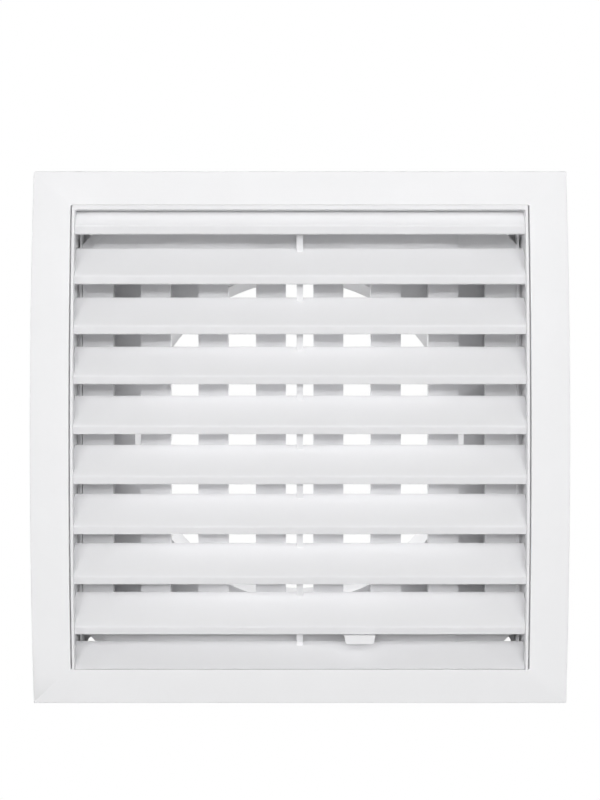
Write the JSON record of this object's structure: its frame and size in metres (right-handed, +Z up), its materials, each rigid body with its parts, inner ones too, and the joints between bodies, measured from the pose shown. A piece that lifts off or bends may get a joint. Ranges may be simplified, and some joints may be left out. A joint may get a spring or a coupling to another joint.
{
  "type": "adjustable vent grille",
  "caption": "Square wall vent grille with fixed sloping louvres, a sliding shutter moved by a finger tab, and a round duct spigot at the back.",
  "frame": {"origin": "on the spigot's axis, in the plane where the back of the frame meets the wall", "axes": "+Y along the spigot from the front towards the wall, +Z up, +X to the right as seen from the front"},
  "size_m": [0.1902, 0.0556, 0.187],
  "materials": {
    "body_plastic": "satin moulded white",
    "panel_plastic": "satin moulded white",
    "shutter_plastic": "satin moulded white",
    "spigot_plastic": "satin moulded white"
  },
  "bodies": {
    "grille": {"grille_body": "body_plastic", "louvre_panel": "panel_plastic", "spigot_plate": "spigot_plastic"},
    "shutter": {"shutter": "shutter_plastic"}
  },
  "joints": [
    {"name": "shutter_slide", "type": "slide", "parent": "grille", "child": "shutter", "axis": [1, 0, 0], "range_m": [0, 0.01045]}
  ]
}
